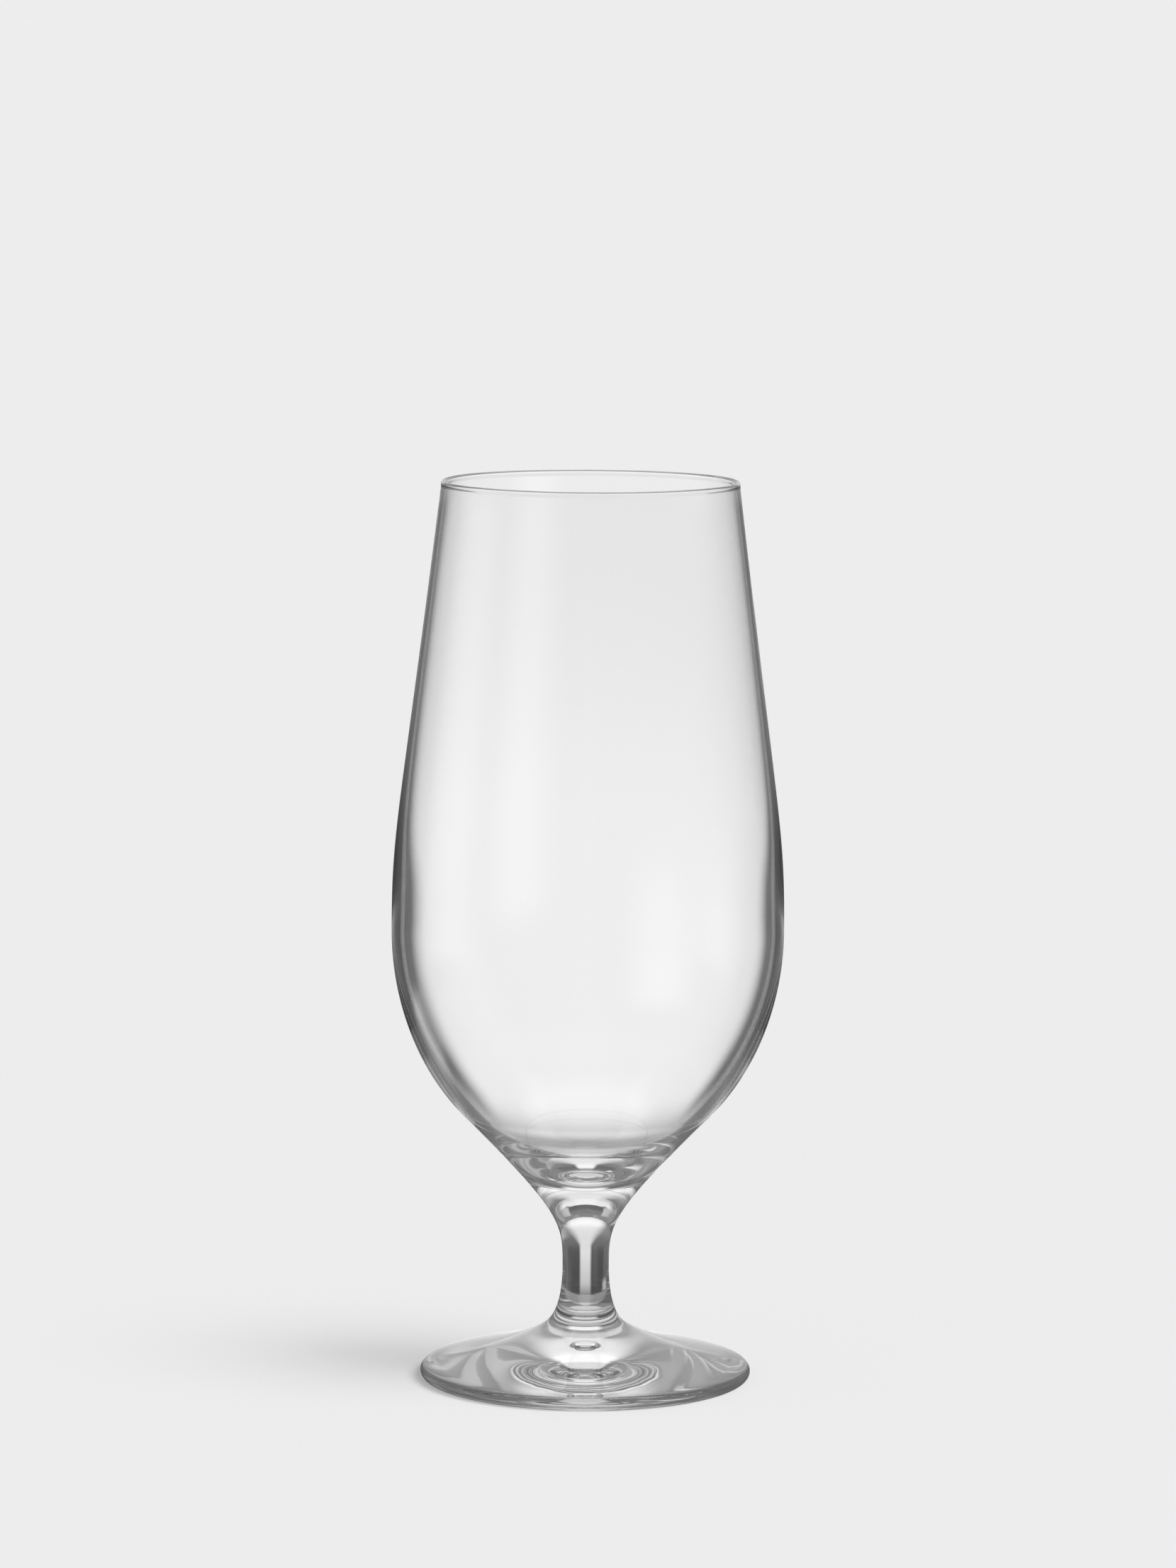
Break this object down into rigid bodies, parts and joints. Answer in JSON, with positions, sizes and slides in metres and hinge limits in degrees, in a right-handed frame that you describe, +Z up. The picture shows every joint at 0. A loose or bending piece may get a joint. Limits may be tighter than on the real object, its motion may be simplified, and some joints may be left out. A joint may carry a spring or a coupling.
{
  "type": "stemmed beer glass",
  "caption": "Clear stemmed beer glass: tall tapered bowl with a full belly and thick base, short waisted stem and round spun foot.",
  "frame": {"origin": "on the axis of the glass, in the plane that the foot stands on", "axes": "+Z up the axis of the glass, towards the lip; the glass is round, so X and Y are free"},
  "size_m": [0.0808, 0.0808, 0.186],
  "materials": {
    "bowl_glass": "polished clear",
    "stem_glass": "polished clear",
    "foot_glass": "polished clear"
  },
  "bodies": {
    "root": {"bowl": "bowl_glass", "stem": "stem_glass", "foot": "foot_glass"}
  },
  "joints": []
}
